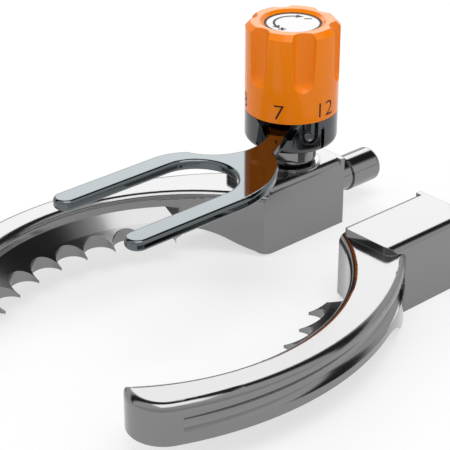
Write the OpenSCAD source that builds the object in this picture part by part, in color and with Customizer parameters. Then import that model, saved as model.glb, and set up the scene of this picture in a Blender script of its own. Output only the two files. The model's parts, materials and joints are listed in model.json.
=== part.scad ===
// Knee-cap resection guide: two mirrored toothed jaws and a dial depth gauge.
// X runs from the gauge jaw to the plain jaw, Y runs back to the spigots, Z is up.
// The origin is at the bottom centre of the whole guide, with the jaws parted.

/* [Jaws] */
// Gap between the two blocks as the guide stands open
jaw_gap = 17.6; // [14:0.2:30]
// Width of each block
block_w = 11; // [10.8:0.1:13]
// Height of each block
block_h = 12.7; // [12.3:0.1:14]
// Length of each block behind the dial's axis
block_back = 8; // [7.6:0.1:12]
// Length of each block in front of the dial's axis
block_front = 11; // [10.4:0.1:11.4]
// Radius of the rounded upper edges
edge_r = 1.3; // [0.4:0.1:1.6]
// Height of the arm's top above the table
arm_top = 11.3; // [10.8:0.1:11.8]
// Height of the arm's underside above the table
arm_bottom = 4.8; // [4:0.1:5.2]
// Distance from the dial's axis forward to the arm's tip
arm_reach = 66.2; // [64:0.1:67]
// Length of the sloping step from the block down to the arm
ramp_length = 5.8; // [4.5:0.1:7]
// Distance from the dial's axis forward to the top of that step
ramp_start = 9.1; // [8:0.1:10]
// Length of the sweep under the arm from the block up to the arm
heel_length = 13; // [11:0.1:14]
// Distance from the dial's axis forward to the start of that sweep
heel_start = 8; // [7:0.1:9]
// Radius of the arm's inner wall
inner_r = 35.1; // [34.5:0.1:36]
// Bulge of the inner wall out from the block's inner side
inner_bulge = 18.6; // [18:0.1:19]
// Radius of the arm's outer wall
outer_r = 51.4; // [50:0.1:53]
// Bulge of the outer wall out from the block's inner side
outer_bulge = 24.2; // [23.6:0.1:25]
// Radius of the rounded nose at the tip
tip_corner = 5.6; // [4:0.1:6.4]
// Radius of the groove along the arm's outer wall
groove_r = 1.9; // [1:0.1:2.1]
// Depth of that groove at the middle of the arm
groove_depth = 1; // [0.5:0.1:1.3]

/* [Teeth] */
// Number of scallops that leave the teeth between them
scallops = 9; // [5:1:9]
// Angle from one tooth to the next
tooth_angle = 9.7; // [9:0.1:10]
// Bulge of the tooth tips out from the block's inner side
tip_bulge = 12.4; // [12:0.1:13]
// Radius of the ring on which the tooth tips stand
tip_r = 31.1; // [30.5:0.1:31.8]
// Radius of each scallop
scallop_r = 2.66; // [2.2:0.02:2.8]
// Height of the blunt edge left at each tip
tip_edge = 0.5; // [0.3:0.1:0.8]
// Height at which the sloping tooth face meets the arm's wall
tooth_top = 9; // [8.4:0.1:9.2]

/* [Spigots] */
// Diameter of each spigot
spigot_d = 6.3; // [6:0.1:7]
// Length of each spigot behind its block
spigot_length = 12.4; // [11:0.1:24]
// Diameter of the relieved neck next to the block
neck_d = 5.7; // [5.2:0.1:5.9]
// Length of that neck
neck_length = 5.4; // [2:0.1:8]
// Height of the spigot's axis above the table
spigot_z = 5.9; // [5.4:0.1:6.4]
// Diameter of the shank inside the block
shank_d = 4.4; // [3:0.1:4.6]
// Length of the shank inside the block
shank_length = 4.6; // [3:0.1:4.8]

/* [Post] */
// Diameter of the barrel that shows under the collar
barrel_d = 9; // [8.6:0.1:9.6]
// Diameter of the column that guides the collar
column_d = 7.8; // [7.4:0.1:8]
// Distance of the column's flat from its axis
flat_offset = 3.4; // [3.3:0.05:3.6]
// Diameter of the foot on the block
foot_d = 10.6; // [9:0.1:10.8]
// Thickness of the foot
foot_h = 0.6; // [0.4:0.1:0.8]
// Diameter of the stud in the block
stud_d = 5; // [4:0.1:5.4]
// Depth of the stud in the block
stud_h = 5; // [3:0.1:5.4]
// Diameter of the threaded upper end
thread_d = 6.4; // [5.6:0.1:6.6]
// Diameter of the stop washer on the thread's end
stop_d = 8; // [7.4:0.1:8.2]
// Thickness of the stop washer
stop_h = 0.8; // [0.5:0.1:1]
// Diameter of the screw that holds the stop washer
screw_d = 2.4; // [2:0.1:3]

/* [Fork] */
// Height of the fork's top above the table with the dial at its lowest mark
fork_top = 22; // [21.6:0.1:22.2]
// Thickness of the fork
fork_h = 1.8; // [1.5:0.1:2]
// Radius of the fork's rounded edges
fork_edge = 0.6; // [0.3:0.05:0.7]
// Radius of the arch between the prongs
arch_r = 6.7; // [6.2:0.1:7]
// Width of each prong
prong_w = 4; // [3.6:0.1:4.4]
// Length of the straight part of each prong
prong_length = 19; // [12:0.1:20]
// Distance from the dial's axis forward to the arch's centre
arch_y = 29.3; // [29:0.1:30]
// Distance from the dial's axis sideways to the arch's centre
arch_x = 8.6; // [8.2:0.1:9]
// Width of the neck that sits in the collar
neck_w = 4.6; // [4.4:0.1:4.8]
// Radius of the sweep on the outer side of the neck
sweep_r = 18.3; // [17.8:0.1:19]
// Radius of the hollow on the inner side of the neck
hollow_r = 8.95; // [8:0.1:9.4]

/* [Collar] */
// Outer diameter of the collar and the grip
dial_d = 16; // [15.8:0.1:17]
// Height of the collar's underside above the table
collar_z = 17.3; // [17.1:0.1:17.6]
// Height of the collar's outer wall
collar_h = 5.75; // [5.6:0.05:5.9]
// Radius of the collar's lower edge
collar_edge = 1.4; // [0.6:0.1:1.8]
// Diameter of the neck on which the grip turns
bearing_d = 10.6; // [10.4:0.1:10.8]
// Height of that neck
bearing_h = 3.3; // [3.1:0.1:3.4]
// Width of the bevelled window over the fork's neck
window_w = 8.4; // [7:0.1:8.8]
// Width of the round-bottomed notch beside the window
notch_w = 3; // [2.4:0.1:3.2]
// Diameter of the detent balls
ball_d = 1.4; // [1.2:0.1:1.5]

/* [Grip] */
// Height of the grip
grip_h = 15.6; // [15.4:0.1:17]
// Radius of each thumb flute
flute_r = 2.2; // [1.8:0.1:2.6]
// Depth of each flute at its lower end
flute_low = 1.2; // [0.8:0.1:1.4]
// Depth of each flute at the grip's top
flute_high = 1.7; // [1.2:0.1:1.9]
// Height of the plain band that carries the numbers
band_h = 5.3; // [4.5:0.1:7]
// Width of the bevel round the grip's top
bevel = 0.9; // [0.4:0.1:1.1]
// Diameter of the disc in the grip's top
disc_d = 9.7; // [9.6:0.1:10]
// Thickness of that disc
disc_h = 0.8; // [0.6:0.1:0.9]
// Height of the nut inside the grip
nut_h = 3.6; // [3:0.1:3.7]

/* [Travel and fits] */
// Rise of the fork over the whole dial
travel = 5; // [4:0.5:5]
// Radial clearance of a running fit
run_fit = 0.05; // [0.03:0.01:0.08]
// Gap between faces that move past each other
face_gap = 0.05; // [0.04:0.01:0.1]

/* [Hidden] */
$fn = 96;

steel = "lightsteelblue";
dark_steel = "slategray";
orange = "darkorange";
eps = 0.01;
far = 90;

// Places in the common frame
side_x = jaw_gap / 2;
dial_x = -side_x - block_w / 2;
dial_y = (arm_reach - block_back - spigot_length) / 2;

// Arc centres of a jaw, as u out from the block's inner side and v forward
inner_c = [inner_bulge - inner_r, 42.3];
outer_c = [outer_bulge - outer_r, 41.7];
tooth_c = [tip_bulge - tip_r, 42.5];
tip_c = [outer_c[0] + sqrt(pow(outer_r - tip_corner, 2)
         - pow(arm_reach - tip_corner - outer_c[1], 2)), arm_reach - tip_corner];
tip_turn = asin((tip_c[1] - outer_c[1]) / (outer_r - tip_corner));
first_scallop = -39.05;
groove_z = 7.9;
first_tooth_v = 22.6;
flange = 1;
spigot_edge = 0.8;
barrel_edge = 1;
front_corner = 1.8;

// Heights and angles of the gauge
foot_top = block_h + foot_h;
grip_z = collar_z + collar_h + face_gap;
grip_top = grip_z + grip_h;
neck_top = grip_z - face_gap + bearing_h;
nut_z = neck_top + 0.5;
nut_top = nut_z + nut_h;
column_top = nut_z - 0.1;
fork_bottom = fork_top - fork_h;
thread_top = nut_top + travel + 0.1;
disc_z = grip_top - 0.5 - disc_h;
bore_r = bearing_d / 2 + run_fit;
cavity_r = stop_d / 2 + 0.4;
ring_z = neck_top - 1.6;
ring_h = 0.6;
window_a = -60;
notch_a = -20;
slit_a = -2;
flat_a = -52;
balls_a = [90, 150];
ball_ring = (bearing_d + dial_d) / 4;
ball_z = grip_z - 0.35;
pocket_z = grip_z - 3.4;
step_a = 60;

// Gives a square corner at [r, z] a rounding of radius e, seen as a profile
module rounded_wall(r0, r1, z0, z1, e) {
    translate([r0, z0]) square([r1 - r0 - e, z1 - z0]);
    translate([r0, z0]) square([r1 - r0, z1 - z0 - e]);
    translate([r1 - e, z1 - e]) circle(e);
}

// A tube about the local Z axis
module tube(r0, r1, z0, z1) {
    rotate_extrude() translate([r0, z0]) square([r1 - r0, z1 - z0]);
}

// ---- Jaws, drawn with u outward, v forward and Z up ----

// The curved arm inside its outer wall, ended by a rounded nose at the tip
module arm_body() {
    intersection() {
        translate([outer_c[0], outer_c[1], 0])
            rotate_extrude() rounded_wall(5, outer_r, arm_bottom, arm_top, edge_r);
        translate([tip_c[0], tip_c[1], -1]) rotate([0, 0, tip_turn])
            translate([-2 * far, -far, 0]) cube([3 * far, far, far]);
        translate([0, 0, -1]) cube([far, far, far]);
    }
    translate([tip_c[0], tip_c[1], 0])
        rotate_extrude() rounded_wall(0, tip_corner, arm_bottom, arm_top, edge_r);
}

// What is cleared inside the inner wall, flared at the rounded upper edge
module inner_clearance() {
    translate([inner_c[0], inner_c[1], 0]) rotate_extrude() {
        translate([0, -1]) square([inner_r, far]);
        difference() {
            translate([inner_r - 1, arm_top - edge_r]) square([edge_r + 1, edge_r + 1]);
            translate([inner_r + edge_r, arm_top - edge_r]) circle(edge_r);
        }
    }
}

// The S-shaped step that leads from the block's top down to the arm's top
module ramp_profile() {
    drop = block_h - arm_top;
    ramp_r = (ramp_length * ramp_length + drop * drop) / (4 * drop);
    mid = ramp_start + ramp_length / 2;
    difference() {
        translate([0, arm_bottom]) square([mid, block_h - arm_bottom]);
        difference() {
            translate([ramp_start, block_h - drop / 2]) square([far, drop]);
            translate([ramp_start, block_h - ramp_r]) circle(ramp_r);
        }
    }
    difference() {
        translate([ramp_start, arm_bottom])
            square([ramp_length, arm_top + drop / 2 - arm_bottom]);
        translate([ramp_start + ramp_length, arm_top + ramp_r]) circle(ramp_r);
    }
}

// The thick root of the arm under that step
module ramp() {
    difference() {
        intersection() {
            rotate([90, 0, 90]) linear_extrude(far) ramp_profile();
            translate([outer_c[0], outer_c[1], 0]) cylinder(h = far, r = outer_r, $fn = 200);
        }
        translate([inner_c[0], inner_c[1], -1]) cylinder(h = far, r = inner_r, $fn = 200);
    }
}

// The heel under the arm, whose underside sweeps from the block up to the arm
module heel() {
    r = (heel_length * heel_length + arm_bottom * arm_bottom) / (4 * arm_bottom);
    mid = heel_start + heel_length / 2;
    difference() {
        intersection() {
            rotate([90, 0, 90]) linear_extrude(far) {
                intersection() {
                    translate([heel_start, 0]) square([heel_length / 2, arm_bottom + 1]);
                    translate([heel_start, r]) circle(r);
                }
                difference() {
                    translate([mid, arm_bottom / 2])
                        square([heel_length / 2, arm_bottom / 2 + 1]);
                    translate([heel_start + heel_length, arm_bottom - r]) circle(r);
                }
            }
            translate([outer_c[0], outer_c[1], 0]) cylinder(h = far, r = outer_r, $fn = 200);
        }
        translate([inner_c[0], inner_c[1], -1]) cylinder(h = far, r = inner_r, $fn = 200);
    }
}

// The sloping toothed edge inside the arm
module teeth() {
    band = tip_r + 3.5;
    wall = inner_c[0] - tooth_c[0] + inner_r;
    band_z = arm_bottom + tip_edge + 2;
    difference() {
        intersection() {
            translate([tooth_c[0], tooth_c[1], 0]) rotate_extrude()
                polygon([[tip_r, arm_bottom], [tip_r, arm_bottom + tip_edge],
                         [band, band_z], [wall, tooth_top], [wall + 5, tooth_top],
                         [wall + 5, arm_bottom]]);
            translate([outer_c[0], outer_c[1], 0]) cylinder(h = far, r = outer_r - 2);
            cube([far, tip_c[1] + 1, far]);
        }
        for (i = [0 : scallops - 1])
            translate([tooth_c[0], tooth_c[1], -1])
                rotate([0, 0, first_scallop + i * tooth_angle])
                    translate([tip_r + 0.5, 0, 0]) cylinder(h = far, r = scallop_r);
        translate([-1, -1, -1]) cube([far, first_tooth_v + 1, far]);
    }
}

// The round-bottomed groove along the outer wall
module side_groove() {
    translate([outer_c[0], outer_c[1] + 1.5, groove_z]) rotate([0, 0, -42])
        rotate_extrude(angle = 63.5)
            translate([outer_r - groove_depth + groove_r, 0]) circle(groove_r);
}

// The rectangular block, with rounded upper edges that stop short of its back
module block() {
    intersection() {
        union() {
            translate([0, flange - block_back, 0]) rotate([-90, 0, 0])
                linear_extrude(block_front + block_back - flange) mirror([0, 1])
                    block_section();
            translate([0, -block_back, 0]) cube([block_w, flange, block_h]);
        }
        linear_extrude(block_h) {
            translate([0, -block_back])
                square([block_w, block_back + block_front - front_corner]);
            translate([front_corner, 0])
                square([block_w - 2 * front_corner, block_front]);
            for (u = [front_corner, block_w - front_corner])
                translate([u, block_front - front_corner]) circle(front_corner);
        }
    }
}

module block_section() {
    square([block_w, block_h - edge_r]);
    translate([edge_r, 0]) square([block_w - 2 * edge_r, block_h]);
    for (u = [edge_r, block_w - edge_r])
        translate([u, block_h - edge_r]) circle(edge_r);
}

module jaw() {
    difference() {
        union() {
            difference() {
                arm_body();
                inner_clearance();
            }
            ramp();
            heel();
            teeth();
            block();
        }
        side_groove();
        translate([block_w / 2, -block_back - eps, spigot_z]) rotate([-90, 0, 0])
            cylinder(h = shank_length + 0.2, d = shank_d);
    }
}

// Sets children at the gauge jaw or at the plain jaw
module on_gauge_side() {
    translate([-side_x, dial_y, 0]) rotate([0, 0, 180]) children();
}

module on_plain_side() {
    translate([side_x, dial_y, 0]) mirror([0, 1, 0]) children();
}

module spigot() {
    translate([block_w / 2, -block_back, spigot_z]) rotate([90, 0, 0]) rotate_extrude() {
        polygon([[0, -shank_length], [shank_d / 2 - 0.3, -shank_length],
                 [shank_d / 2, 0.3 - shank_length], [shank_d / 2, 0], [neck_d / 2, 0],
                 [neck_d / 2, neck_length + eps], [0, neck_length + eps]]);
        rounded_wall(0, spigot_d / 2, neck_length, spigot_length, spigot_edge);
    }
}

module gauge_jaw() {
    color(steel) difference() {
        on_gauge_side() jaw();
        translate([dial_x, dial_y, block_h - stud_h]) cylinder(h = far, d = stud_d);
    }
}

module gauge_spigot() {
    color(steel) on_gauge_side() spigot();
}

module plain_jaw() {
    color(steel) on_plain_side() jaw();
}

module plain_spigot() {
    color(steel) on_plain_side() spigot();
}

// ---- Gauge, drawn about the dial's axis ----

module at_dial() {
    translate([dial_x, dial_y, 0]) children();
}

// A round bar with one flat, for the column and the bore that it keys
module keyed(r, flat, z0, z1) {
    difference() {
        translate([0, 0, z0]) cylinder(h = z1 - z0, r = r);
        rotate([0, 0, flat_a]) translate([flat, -far / 2, z0 - 1])
            cube([far, far, z1 - z0 + 2]);
    }
}

// The thicker barrel that shows between the foot and the collar, with a flat at its side
module barrel() {
    r = barrel_d / 2;
    h = collar_z - 0.1 - foot_top;
    difference() {
        translate([0, 0, foot_top]) rotate_extrude() {
            translate([0, -eps]) square([r - barrel_edge, h]);
            translate([0, barrel_edge]) square([r, h - barrel_edge]);
            translate([r - barrel_edge, barrel_edge]) circle(barrel_edge);
        }
        rotate([0, 0, flat_a]) translate([r - 0.4, -far / 2, foot_top + 1.2])
            cube([far, far, 2.1]);
    }
}

module post() {
    color(dark_steel) at_dial() difference() {
        union() {
            translate([0, 0, block_h - stud_h + 0.1]) cylinder(h = stud_h, d = stud_d);
            rotate_extrude() {
                translate([0, block_h]) square([foot_d / 2 - 0.2, foot_h]);
                translate([0, block_h]) square([foot_d / 2, foot_h - 0.2]);
            }
            barrel();
            keyed(column_d / 2, flat_offset, collar_z - 1, column_top);
            translate([0, 0, column_top - eps])
                cylinder(h = thread_top - column_top + eps, d = thread_d);
        }
        translate([0, 0, thread_top - 4]) cylinder(h = far, d = screw_d);
    }
}

module stop_washer() {
    color(steel) at_dial()
        tube(screw_d / 2 + run_fit, stop_d / 2, thread_top, thread_top + stop_h);
}

module stop_screw() {
    head_z = thread_top + stop_h;
    color(steel) at_dial() difference() {
        union() {
            translate([0, 0, thread_top - 3.6]) cylinder(h = 3.6 + stop_h, d = screw_d);
            translate([0, 0, head_z]) cylinder(h = 0.7, d = screw_d + 1.8);
        }
        translate([0, 0, head_z + 0.25]) cylinder(h = 1, d = 1.4, $fn = 6);
    }
}

module collar() {
    top = collar_z + collar_h;
    slit_h = 5.3;
    r = dial_d / 2;
    color(dark_steel) at_dial() difference() {
        rotate_extrude() {
            translate([0, collar_z]) square([r - collar_edge, collar_h]);
            translate([0, collar_z + collar_edge]) square([r, collar_h - collar_edge]);
            translate([r - collar_edge, collar_z + collar_edge]) circle(collar_edge);
            translate([0, collar_z + 1]) square([bearing_d / 2, neck_top - collar_z - 1]);
        }
        keyed(column_d / 2 + run_fit, flat_offset + run_fit, collar_z - 1, neck_top + 1);
        tube(bearing_d / 2 - 0.4, bearing_d / 2 + 1, ring_z, ring_z + ring_h);
        rotate([0, 0, window_a]) window();
        rotate([0, 0, notch_a]) translate([r + 0.1, 0, collar_z + 3.4]) {
            cylinder(h = 2.4, d = notch_w);
            sphere(d = notch_w);
        }
        rotate([0, 0, slit_a]) translate([r - 0.5, 0, collar_z - 1]) {
            cylinder(h = slit_h, d = 0.8);
            translate([0, -0.4, 0]) cube([2, 0.8, slit_h]);
        }
        for (a = balls_a)
            rotate([0, 0, a]) translate([ball_ring, 0, pocket_z])
                cylinder(h = top - pocket_z + eps, r = ball_d / 2 + run_fit);
    }
}

// The window: its floor carries the fork's neck, and its upper sides are bevelled
module window() {
    sill = neck_w / 2 + 0.05;
    translate([bearing_d / 2 + 0.1, 0, 0]) rotate([90, 0, 90]) linear_extrude(5)
        polygon([[-sill, fork_bottom], [sill, fork_bottom],
                 [sill + 0.6, fork_top - 0.5], [window_w / 2, grip_z],
                 [-window_w / 2, grip_z], [-sill - 0.6, fork_top - 0.5]]);
}

module retaining_ring() {
    color(steel) at_dial() difference() {
        tube(bearing_d / 2 - 0.4, bearing_d / 2 + 0.4, ring_z, ring_z + ring_h);
        rotate([0, 0, 180]) translate([0, -0.5, ring_z - 1]) cube([far, 1, 3]);
    }
}

module spring_washer() {
    color(steel) at_dial()
        tube(column_d / 2 + 0.2, bearing_d / 2 - 0.1, neck_top, nut_z - face_gap);
}

module detent_balls() {
    color(steel) at_dial() for (a = balls_a)
        rotate([0, 0, a]) translate([ball_ring, 0, ball_z]) sphere(d = ball_d);
}

// Each spring stands in its pocket and bears on its ball
module detent_springs() {
    wire = 0.3;
    h = ball_z - ball_d / 2 + 0.05 - pocket_z;
    color(steel) at_dial() for (a = balls_a)
        rotate([0, 0, a]) translate([ball_ring, 0, pocket_z])
            linear_extrude(h, twist = -4 * 360, slices = 28, $fn = 6)
                translate([ball_d / 2 - wire / 2 - 0.05, 0]) circle(d = wire, $fn = 6);
}

// ---- Fork ----

// Section of a bar of width w with rounded edges, centred across
module bar_section(w) {
    e = fork_edge;
    translate([-w / 2 + e, 0]) square([w - 2 * e, fork_h]);
    translate([-w / 2, e]) square([w, fork_h - 2 * e]);
    for (x = [e - w / 2, w / 2 - e], z = [e, fork_h - e])
        translate([x, z]) circle(e);
}

// A disc with the same rounded rim
module rim_disc(r) {
    rotate_extrude() intersection() {
        bar_section(2 * r);
        square([r, fork_h]);
    }
}

// A round hole whose mouths flare out to the same rounding
module flared_hole(r) {
    e = fork_edge;
    rotate_extrude() difference() {
        translate([0, -1]) square([r + e, fork_h + 2]);
        translate([r, e]) square([e + 1, fork_h - 2 * e]);
        for (z = [e, fork_h - e]) translate([r + e, z]) circle(e);
    }
}

// The bow that joins the prongs, and the web that leads to the neck
module fork_bow() {
    half = arch_r + prong_w;
    shoulder_r = 9;
    difference() {
        union() {
            intersection() {
                translate([arch_x - half + shoulder_r, -arch_y, 0]) rim_disc(shoulder_r);
                translate([-far / 2, -arch_y, 0]) cube([far, far, fork_h]);
            }
            intersection() {
                translate([arch_x + half - sweep_r, -arch_y, 0]) rim_disc(sweep_r);
                linear_extrude(fork_h) polygon([
                    [arch_x, -arch_y], [arch_x + half, -arch_y], [arch_x + half, -arch_y + 14],
                    [11.5, -14.4], [7, -9], [3.5, -11], [1.6, -22.4]]);
            }
            rotate([0, 0, window_a]) translate([bearing_d / 2 + 0.1, -0.4, 0])
                rotate([90, 0, 90]) linear_extrude(14) bar_section(neck_w);
        }
        translate([5.85 - hollow_r, -15.1, 0]) flared_hole(hollow_r);
        translate([arch_x, -arch_y, 0]) flared_hole(arch_r);
    }
}

module fork() {
    color(dark_steel) at_dial() translate([0, 0, fork_bottom]) {
        fork_bow();
        for (s = [-1, 1])
            translate([arch_x + s * (arch_r + prong_w / 2), -arch_y, 0]) {
                rotate([90, 0, 0]) linear_extrude(prong_length) bar_section(prong_w);
                translate([0, -prong_length, 0]) rim_disc(prong_w / 2);
            }
    }
}

// ---- Grip ----

module grip() {
    r = dial_d / 2;
    low = grip_z + band_h + flute_r;
    lean = atan((flute_high - flute_low) / (grip_top - low));
    color(orange) at_dial() difference() {
        rotate_extrude() polygon([
            [bore_r, grip_z], [r, grip_z], [r, grip_top - bevel],
            [r - bevel, grip_top], [disc_d / 2 + 0.7, grip_top],
            [disc_d / 2, grip_top - 0.4], [disc_d / 2, disc_z], [cavity_r, disc_z],
            [cavity_r, nut_top], [bore_r, nut_top]]);
        tube(bearing_d / 2 - 1, bearing_d / 2 + 0.5, ring_z - face_gap,
             ring_z + ring_h + face_gap);
        for (i = [0 : 5])
            rotate([0, 0, window_a + step_a / 2 + i * step_a])
                translate([r - flute_low + flute_r, 0, low]) {
                    sphere(r = flute_r);
                    rotate([0, -lean, 0]) cylinder(h = grip_h, r = flute_r);
                }
        translate([0, 0, ball_z]) rotate_extrude()
            translate([ball_ring, 0]) circle(ball_d / 2 + run_fit);
        for (i = [0 : 5])
            rotate([0, 0, balls_a[0] + i * step_a])
                translate([ball_ring, 0, ball_z + 0.2]) sphere(d = ball_d);
    }
}

module lead_nut() {
    color(steel) at_dial() tube(thread_d / 2 + run_fit, bore_r, nut_z, nut_top);
}

module cap_disc() {
    color(steel) at_dial() rotate_extrude() {
        translate([0, disc_z]) square([disc_d / 2, disc_h / 2]);
        translate([0, disc_z]) square([disc_d / 2 - 0.25, disc_h]);
    }
}

gauge_jaw();
gauge_spigot();
plain_jaw();
plain_spigot();
post();
stop_washer();
stop_screw();
collar();
retaining_ring();
spring_washer();
detent_balls();
detent_springs();
fork();
grip();
lead_nut();
cap_disc();
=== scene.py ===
# %% [markdown]
# # Knee-cap resection guide
# Two mirrored toothed jaws stand open on a table. The left one carries a dial gauge: turning the
# orange grip raises or lowers a two-pronged fork over the gap. Every rigid shape comes from the
# CAD model, which is loaded first. This notebook adds the finishes, the marks and the light.

# %% Load the model
import math
import json

import bpy
import bmesh
from mathutils import Matrix, Vector


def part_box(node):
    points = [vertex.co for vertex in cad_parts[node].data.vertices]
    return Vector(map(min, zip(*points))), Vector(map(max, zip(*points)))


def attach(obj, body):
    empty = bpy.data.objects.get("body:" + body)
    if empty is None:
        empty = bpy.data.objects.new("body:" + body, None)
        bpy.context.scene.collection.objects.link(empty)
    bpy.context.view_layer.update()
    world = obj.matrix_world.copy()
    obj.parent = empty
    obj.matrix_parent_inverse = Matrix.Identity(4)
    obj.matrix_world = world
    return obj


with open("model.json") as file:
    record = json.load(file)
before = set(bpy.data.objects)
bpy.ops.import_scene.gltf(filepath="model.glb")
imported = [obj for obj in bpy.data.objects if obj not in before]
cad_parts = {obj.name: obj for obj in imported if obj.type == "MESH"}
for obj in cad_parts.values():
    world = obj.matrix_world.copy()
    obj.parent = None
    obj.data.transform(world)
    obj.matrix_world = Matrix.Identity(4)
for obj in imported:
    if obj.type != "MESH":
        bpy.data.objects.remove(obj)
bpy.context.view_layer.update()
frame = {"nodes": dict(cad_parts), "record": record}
NODES = frame["nodes"]
print("nodes:", sorted(NODES))

# %% [markdown]
# ## The camera
# A long lens looks down on the guide from the front right. Its place, turn and focal length are
# numbers about the dial's axis, because that is the part that everything else is measured from.

# %% Camera
MM = 0.001
PIXELS = 450
FOCAL_PX = 1617.8
CENTRE_PX = (216.1, 227.9)
AZIMUTH, ELEVATION, ROLL = 48.228, 27.787, -0.127
EYE_FROM_DIAL = Vector((181.59, -179.52, 133.89)) * MM

grip_low, grip_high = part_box("grip")
DIAL = Vector(((grip_low.x + grip_high.x) / 2, (grip_low.y + grip_high.y) / 2, 0))


def aim(azimuth, elevation, roll):
    """Turns a camera that looks along azimuth (from +Y towards -X) and down by elevation."""
    a, e, r = (math.radians(v) for v in (azimuth, elevation, roll))
    ahead = Vector((-math.sin(a) * math.cos(e), math.cos(a) * math.cos(e), -math.sin(e)))
    right = Vector((math.cos(a), math.sin(a), 0))
    up = right.cross(ahead)
    right, up = (right * math.cos(r) + up * math.sin(r), up * math.cos(r) - right * math.sin(r))
    return Matrix((right, up, -ahead)).transposed().to_4x4()


camera = bpy.data.objects.new("camera", bpy.data.cameras.new("camera"))
bpy.context.scene.collection.objects.link(camera)
camera.matrix_world = Matrix.Translation(DIAL + EYE_FROM_DIAL) @ aim(AZIMUTH, ELEVATION, ROLL)
camera.data.sensor_width = 36
camera.data.lens = FOCAL_PX / PIXELS * camera.data.sensor_width
camera.data.shift_x = (PIXELS / 2 - CENTRE_PX[0]) / PIXELS
camera.data.shift_y = (CENTRE_PX[1] - PIXELS / 2) / PIXELS
camera.data.clip_start = 0.01
camera.data.clip_end = 20
bpy.context.scene.camera = camera
bpy.context.scene.view_settings.view_transform = "Standard"
print("lens", round(camera.data.lens, 1), "mm at", [round(v, 4) for v in camera.location])

# %% [markdown]
# ## Writing materials as sums
# A node tree is easier to read as an expression. `S` wraps one socket, so that `a * 2 + b` adds
# the Math nodes for us, and `Nodes.add` makes any other node from its type, settings and inputs.


# %% Shader helpers
class S:
    """One output socket that can be used in sums."""

    def __init__(self, tree, socket):
        self.tree, self.socket = tree, socket

    def maths(self, operation, *others):
        """A Math node fed by this socket and the others."""
        return self.tree.add("ShaderNodeMath", {"operation": operation}, self, *others)

    def __add__(self, other):
        return self.maths("ADD", other)

    def __mul__(self, other):
        return self.maths("MULTIPLY", other)


class Nodes:
    """The node tree of a material or the world, with one method that makes any node."""

    def __init__(self, owner, shader="Principled BSDF"):
        owner.use_nodes = True
        self.nodes = owner.node_tree.nodes
        self.links = owner.node_tree.links
        self.shader = self.nodes[shader]

    def put(self, socket, value):
        """Links a socket to a value of its own kind, or sets it to a number."""
        if isinstance(value, S):
            self.links.new(value.socket, socket)
        elif value is not None:
            socket.default_value = value

    def add(self, kind, settings=None, *values, out=0, **named):
        """A node of this kind; values feed its inputs in order, and named ones by name."""
        node = self.nodes.new(kind)
        for name, setting in (settings or {}).items():
            if name == "stops":
                ramp = node.color_ramp
                while len(ramp.elements) < len(setting):
                    ramp.elements.new(0.5)
                for element, (place, grey) in zip(ramp.elements, setting):
                    element.position = place
                    element.color = (grey, grey, grey, 1)
            else:
                setattr(node, name, setting)
        for socket, value in zip(node.inputs, values):
            self.put(socket, value)
        for name, value in named.items():
            self.put(node.inputs[name.replace("_", " ")], value)
        return S(self, node.outputs[out])

    def place(self):
        """The point on the surface, in metres."""
        return self.add("ShaderNodeTexCoord", out="Object")

    def noise(self, scale, detail=2.0, stretch=None):
        """Clouds in object space; stretch draws them out along an axis."""
        point = self.place()
        if stretch:
            point = self.add("ShaderNodeMapping", None, Vector=point, Scale=stretch)
        return self.add("ShaderNodeTexNoise", {"noise_dimensions": "3D"}, out="Fac",
                        Vector=point, Scale=scale, Detail=detail)

    def bump(self, height, distance, strength, normal):
        """A normal that follows the height, on top of another normal."""
        return self.add("ShaderNodeBump", None, Height=height, Distance=distance,
                        Strength=strength, Normal=normal)

    def soft_edge(self, radius):
        """A normal that rounds the sharp edges a little."""
        return self.add("ShaderNodeBevel", {"samples": 6}, Radius=radius)


def material(name, colour, roughness, metallic=0.0, **extra):
    """A new material; extra sets the shader's own sockets by name."""
    made = bpy.data.materials.new(name)
    tree = Nodes(made)
    tree.shader.inputs["Base Color"].default_value = (*colour, 1)
    tree.shader.inputs["Roughness"].default_value = roughness
    tree.shader.inputs["Metallic"].default_value = metallic
    for key, value in extra.items():
        tree.shader.inputs[key.replace("_", " ")].default_value = value
    return made, tree

# %% [markdown]
# ## The table and the light
# Polished steel shows what stands round it, so the set matters as much as the metal. The studio is
# a band of tones that runs from the far side over the top to the near side: a bright far wall, a
# dark gap, a bright ceiling behind the camera, and a grey near wall. Rounded edges sweep through
# all of it, which draws them with a black and a white line.

# %% Stage and lights
PALE = (0.95, 0.95, 0.95)
FLOOR_WHITE = 0.6
AWAY = Vector((-math.sin(math.radians(AZIMUTH)), math.cos(math.radians(AZIMUTH)), 0))
# (angle over the top from the far horizon, in half turns; brightness)
STUDIO_TONES = [(0.0, 0.75), (0.17, 1.0), (0.24, 1.0), (0.28, 0.04), (0.42, 0.04),
                (0.47, 1.0), (0.72, 1.0), (0.80, 0.8), (1.0, 0.7)]


def paper():
    """Pale paper, part of whose brightness is its own white, so that shadows on it stay light."""
    made, tree = material("floor_paper", PALE, 0.9, 0.0, Specular_IOR_Level=0.0)
    seen = tree.add("ShaderNodeLightPath", out="Is Camera Ray")
    for ray in ("Is Glossy Ray", "Is Transmission Ray"):
        seen = seen.maths("MAXIMUM", tree.add("ShaderNodeLightPath", out=ray))
    white = tree.add("ShaderNodeEmission", None, (1, 1, 1, 1), 1.0)
    lit = S(tree, tree.shader.outputs[0])
    mixed = tree.add("ShaderNodeMixShader", None, seen * FLOOR_WHITE, lit, white)
    tree.put(tree.nodes["Material Output"].inputs["Surface"], mixed)
    return made


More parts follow.
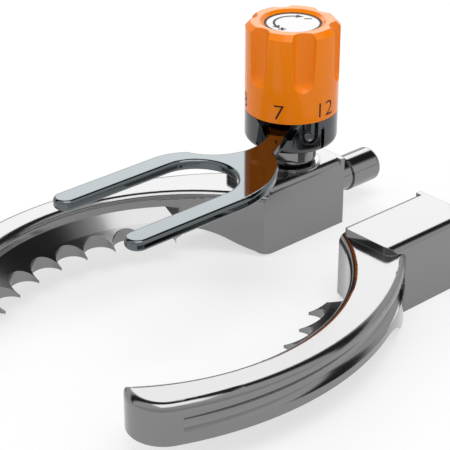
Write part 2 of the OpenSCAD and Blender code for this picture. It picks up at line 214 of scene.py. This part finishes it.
def add_floor(size=3.0):
    """A floor that keeps the object's shadow."""
    mesh = bpy.data.meshes.new("floor")
    h = size / 2
    mesh.from_pydata([(-h, -h, 0), (h, -h, 0), (h, h, 0), (-h, h, 0)], [], [(0, 1, 2, 3)])
    floor = bpy.data.objects.new("floor", mesh)
    floor.location.z = -0.05 * MM
    mesh.materials.append(paper())
    bpy.context.scene.collection.objects.link(floor)


def add_lamp(name, place, size, power, target=(0, 0, 0.01)):
    """A rectangular softbox that faces the guide."""
    data = bpy.data.lights.new(name, "AREA")
    data.shape = "RECTANGLE"
    data.size, data.size_y = size
    data.energy = power
    lamp = bpy.data.objects.new(name, data)
    lamp.location = place
    ahead = (Vector(target) - Vector(place)).normalized()
    lamp.rotation_euler = ahead.to_track_quat("-Z", "Y").to_euler()
    bpy.context.scene.collection.objects.link(lamp)


def add_studio():
    """A world whose tone depends on the angle over the top, away from the camera."""
    world = bpy.data.worlds.new("studio")
    bpy.context.scene.world = world
    tree = Nodes(world, "Background")
    direction = tree.add("ShaderNodeTexCoord", out="Generated")
    far = tree.add("ShaderNodeVectorMath", {"operation": "DOT_PRODUCT"}, direction,
                   tuple(AWAY), out="Value")
    up = tree.add("ShaderNodeSeparateXYZ", None, direction, out="Z")
    angle = up.maths("ARCTAN2", far) * (1 / math.pi)
    tone = tree.add("ShaderNodeValToRGB", {"stops": STUDIO_TONES}, angle, out="Color")
    tree.put(tree.shader.inputs["Color"], tone)
    tree.shader.inputs["Strength"].default_value = 1.0


add_floor()
add_studio()
add_lamp("far_softbox", tuple(AWAY * 0.55 + Vector((0, 0, 0.34))), (0.5, 0.26), 0.95)
add_lamp("top_softbox", (0.12, -0.05, 0.6), (0.4, 0.4), 1.2)

# %% [markdown]
# ## The metals
# The jaws are polished until they mirror softly, with a trace of haze and the finest wipe marks
# left. The turned pieces keep the lathe's fine rings. The fork and the collar are darker and colder;
# their darker base is painted shade, for the darker surroundings that they mirror.

# %% Metals
STEEL_EDGE = 0.12 * MM
WIPE_DEPTH = 0.002 * MM
CLOUD_SCALE, WIPE_SCALE = 90, 2600
HAZE = 0.04


def polished(name, colour, roughness, wipe=0.02, stretch=(1, 0.06, 1)):
    """Mirror-polished steel: faint haze in clouds, softened edges, the finest wipe marks."""
    made, tree = material(name, colour, roughness, 1.0)
    cloud = tree.noise(CLOUD_SCALE, 3)
    marks = tree.noise(WIPE_SCALE, 2, stretch=stretch)
    tree.put(tree.shader.inputs["Roughness"], cloud * HAZE + (roughness - HAZE / 2))
    tree.put(tree.shader.inputs["Normal"],
             tree.bump(marks, WIPE_DEPTH, wipe, tree.soft_edge(STEEL_EDGE)))
    return made


FINISH = {
    "polished_steel": polished("polished_steel", (0.24, 0.238, 0.24), 0.14),
    "turned_steel": polished("turned_steel", (0.24, 0.238, 0.24), 0.1, 0.05, (0.05, 1, 1)),
    "plain_steel": polished("plain_steel", (0.5, 0.5, 0.5), 0.25),
    # The collar's darker base is painted shade: it stands for the dark floor that the collar
    # mirrors.
    "dark_mirror": polished("dark_mirror", (0.085, 0.09, 0.095), 0.07),
    # The fork's darker base is painted shade, for the darker surroundings that it mirrors.
    "fork_mirror": polished("fork_mirror", (0.125, 0.14, 0.148), 0.045),
    "disc_steel": polished("disc_steel", (0.5, 0.5, 0.505), 0.45),
}

# %% [markdown]
# ## The orange grip
# A glossy moulded plastic: saturated colour below a clear, slightly uneven surface.

# %% Grip finish
ORANGE = (0.88, 0.22, 0.004)
GRIP_EDGE = 0.15 * MM
GRIP_GRAIN = 0.004 * MM
made, tree = material("orange_plastic", ORANGE, 0.1, 0.0, Specular_IOR_Level=0.2)
tree.put(tree.shader.inputs["Roughness"], tree.noise(400, 3) * 0.05 + 0.07)
tree.put(tree.shader.inputs["Normal"],
         tree.bump(tree.noise(1500, 2), GRIP_GRAIN, 0.2, tree.soft_edge(GRIP_EDGE)))
FINISH["orange_plastic"] = made

# %% Finishes on the CAD nodes
for row in frame["record"]["subparts"]:
    node = NODES[row["node"]]
    for held in node.material_slots:
        held.material = FINISH[row["material_slot"]]
print("finished", len(NODES), "nodes")

# %% [markdown]
# ## Printed marks and a ring of painted shade
# Numbers start as flat text and are cut into narrow strips so that they can bend round the grip.
# Signs are flat outlines laid on the disc. Both are laid on as a film of ink a few hundredths of a
# millimetre thick.

# %% Ink, which also paints the shade in the disc's gap, and flat outlines
INK_THICK = 0.02 * MM
INK_PROUD = 0.012 * MM
# The same ink also colours the black ring of painted shade in the gap round the disc.
ink_and_painted_shade, tree = material("ink_and_painted_shade", (0.012, 0.012, 0.014), 0.5, 0.0, Specular_IOR_Level=0.15)
tree.put(tree.shader.inputs["Roughness"], tree.noise(2500, 2) * 0.1 + 0.4)
FINISH["ink_and_painted_shade"] = ink_and_painted_shade


def text_mesh(words, height, stretch=1.1):
    """Flat text as a mesh in the XY plane, centred, standing on y = 0, INK_THICK deep."""
    curve = bpy.data.curves.new("words", "FONT")
    curve.body = words
    curve.align_x = "CENTER"
    curve.size = height / 0.7
    curve.extrude = INK_THICK / 2
    curve.offset = -0.016 * height
    curve.resolution_u = 6
    holder = bpy.data.objects.new("words", curve)
    mesh = bpy.data.meshes.new_from_object(holder)
    bpy.data.objects.remove(holder)
    bpy.data.curves.remove(curve)
    mesh.transform(Matrix.Diagonal((stretch, 1, 1, 1)))
    return mesh


def strip_mesh(mesh, step):
    """Cuts a mesh into strips along X, so that it can follow a curved wall."""
    work = bmesh.new()
    work.from_mesh(mesh)
    xs = [v.co.x for v in work.verts]
    cut = math.ceil(min(xs) / step) * step
    while cut < max(xs):
        bmesh.ops.bisect_plane(work, geom=work.verts[:] + work.edges[:] + work.faces[:],
                               plane_co=(cut, 0, 0), plane_no=(1, 0, 0))
        cut += step
    work.to_mesh(mesh)
    work.free()


def join_meshes(name, meshes):
    """One object from several meshes that are already in place."""
    work = bmesh.new()
    for mesh in meshes:
        work.from_mesh(mesh)
        bpy.data.meshes.remove(mesh)
    bmesh.ops.recalc_face_normals(work, faces=work.faces)
    joined = bpy.data.meshes.new(name)
    work.to_mesh(joined)
    work.free()
    made = bpy.data.objects.new(name, joined)
    bpy.context.scene.collection.objects.link(made)
    return made


def add_piece(name, meshes, finish, body):
    """A new piece with its finish, riding on a body of the CAD model."""
    made = join_meshes(name, meshes)
    made.data.materials.append(FINISH[finish])
    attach(made, body)
    print(name, len(made.data.polygons), "faces on", body)
    return made

# %% [markdown]
# The numbers run round the grip's lower band, one for each millimetre of the fork's height. The
# band has one place in every 60 degrees.

# %% Numbers on the grip
NUMBER_TALL = 2.7 * MM
NUMBER_FOOT = 0.75 * MM
PLACES = {"7": -60, "8": -120, "9": 180, "10": 120, "11": 60, "12": 0}
STRIP = 0.25 * MM
GRIP_R = (grip_high.x - grip_low.x) / 2


def on_grip(words, turn):
    """Text wrapped round the grip, its middle at that angle about the dial's axis."""
    mesh = text_mesh(words, NUMBER_TALL)
    strip_mesh(mesh, STRIP)
    for v in mesh.vertices:
        angle = math.radians(turn) + v.co.x / GRIP_R
        r = GRIP_R + INK_PROUD - INK_THICK / 2 + v.co.z
        v.co = (DIAL.x + r * math.cos(angle), DIAL.y + r * math.sin(angle),
                grip_low.z + NUMBER_FOOT + v.co.y)
    return mesh


add_piece("numbers", [on_grip(words, turn) for words, turn in PLACES.items()],
          "ink_and_painted_shade", "dial")

# %% [markdown]
# The disc in the top says which way to turn: a curved arrow with two heads, and a minus and a plus.

# %% Signs on the disc
disc_low, disc_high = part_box("cap_disc")
DISC_TOP = disc_high.z
RIGHT = camera.matrix_world.to_3x3().col[0]
FACING = math.atan2(RIGHT.y, RIGHT.x)


def flat_mesh(outline):
    """A film of ink with this outline, given as points in the disc's plane."""
    mesh = bpy.data.meshes.new("flat")
    n = len(outline)
    low, high = INK_PROUD - INK_THICK, INK_PROUD
    points = [(x, y, z) for z in (low, high) for x, y in outline]
    sides = [(i, (i + 1) % n, n + (i + 1) % n, n + i) for i in range(n)]
    mesh.from_pydata(points, [], [tuple(range(n))[::-1], tuple(range(n, 2 * n)), *sides])
    return mesh


def to_disc(mesh):
    """Lays a flat mesh on the disc, upright as the camera sees it."""
    mesh.transform(Matrix.Translation((DIAL.x, DIAL.y, DISC_TOP)) @ Matrix.Rotation(FACING, 4, "Z"))
    return mesh


def arc_band(r0, r1, start, end, steps=28):
    """A curved bar between two radii, from one angle to another in degrees."""
    turns = [math.radians(start + (end - start) * i / steps) for i in range(steps + 1)]
    outer = [(r1 * math.cos(a), r1 * math.sin(a)) for a in turns]
    inner = [(r0 * math.cos(a), r0 * math.sin(a)) for a in reversed(turns)]
    return flat_mesh(outer + inner)


def arrow_head(r, angle, way, size):
    """A pointed head at the end of the arc."""
    a = math.radians(angle)
    centre = Vector((r * math.cos(a), r * math.sin(a)))
    along = Vector((-math.sin(a), math.cos(a))) * way
    out = Vector((math.cos(a), math.sin(a)))
    tip = centre + along * size
    wings = [centre + out * (size * 0.55), centre - out * (size * 0.55)]
    points = [tuple(tip), tuple(wings[0]), tuple(wings[1])]
    return flat_mesh(points if way > 0 else points[::-1])


def bar(x, y, long, wide):
    """A straight bar with its middle at x, y."""
    return flat_mesh([(x - long / 2, y - wide / 2), (x + long / 2, y - wide / 2),
                      (x + long / 2, y + wide / 2), (x - long / 2, y + wide / 2)])


ARC_R = 3.2 * MM
ARC_WIDE = 0.42 * MM
HEAD_LONG = 1.3 * MM
SIGN_LONG, SIGN_WIDE = 1.3 * MM, 0.4 * MM
PLUS_X, PLUS_Y = -1.9 * MM, -2.9 * MM
MINUS_X, MINUS_Y = 2.6 * MM, 1.9 * MM
ARC_FROM, ARC_TO = 78, 205
signs = [arc_band(ARC_R - ARC_WIDE / 2, ARC_R + ARC_WIDE / 2, ARC_FROM, ARC_TO),
         arrow_head(ARC_R, ARC_FROM, -1, HEAD_LONG), arrow_head(ARC_R, ARC_TO, 1, HEAD_LONG),
         bar(MINUS_X, MINUS_Y, SIGN_LONG, SIGN_WIDE), bar(PLUS_X, PLUS_Y, SIGN_LONG, SIGN_WIDE),
         bar(PLUS_X, PLUS_Y, SIGN_WIDE, SIGN_LONG)]
add_piece("turn_signs", [to_disc(mesh) for mesh in signs], "ink_and_painted_shade", "dial")

# %% [markdown]
# The gap between the disc and the grip lies in shade and shows as a dark line. A thin black ring on
# the disc's edge paints that shade. It is painted shade, and not a piece of the real gauge.

# %% Painted shade in the gap round the disc
DISC_R = (disc_high.x - disc_low.x) / 2
GAP_SHADE_IN, GAP_SHADE_OUT, GAP_SHADE_TALL = 0.42 * MM, 0.02 * MM, 0.1 * MM


def turned(name, profile, centre, steps=96):
    """A closed profile of (radius, height) points turned round an upright axis."""
    mesh = bpy.data.meshes.new(name)
    n = len(profile)
    turns = [2 * math.pi * k / steps for k in range(steps)]
    points = [(centre.x + r * math.cos(a), centre.y + r * math.sin(a), z)
              for a in turns for r, z in profile]
    faces = [(k * n + i, (k + 1) % steps * n + i, (k + 1) % steps * n + (i + 1) % n,
              k * n + (i + 1) % n) for k in range(steps) for i in range(n)]
    mesh.from_pydata(points, [], faces)
    return mesh


def half_round(r0, r1, low, tall, steps=8):
    """A low rounded section between two radii, standing on a height."""
    middle, half = (r0 + r1) / 2, (r1 - r0) / 2
    arc = [math.pi * i / steps for i in range(steps + 1)]
    return [(middle - half * math.cos(a), low + tall * math.sin(a)) for a in arc]


# The ring is painted shade: black ink where the gap between the disc and the grip lies in shade.
section = half_round(DISC_R - GAP_SHADE_IN, DISC_R - GAP_SHADE_OUT, DISC_TOP - INK_THICK, GAP_SHADE_TALL)
add_piece("disc_gap_painted_shade", [turned("line", section, DIAL)], "ink_and_painted_shade", "dial")
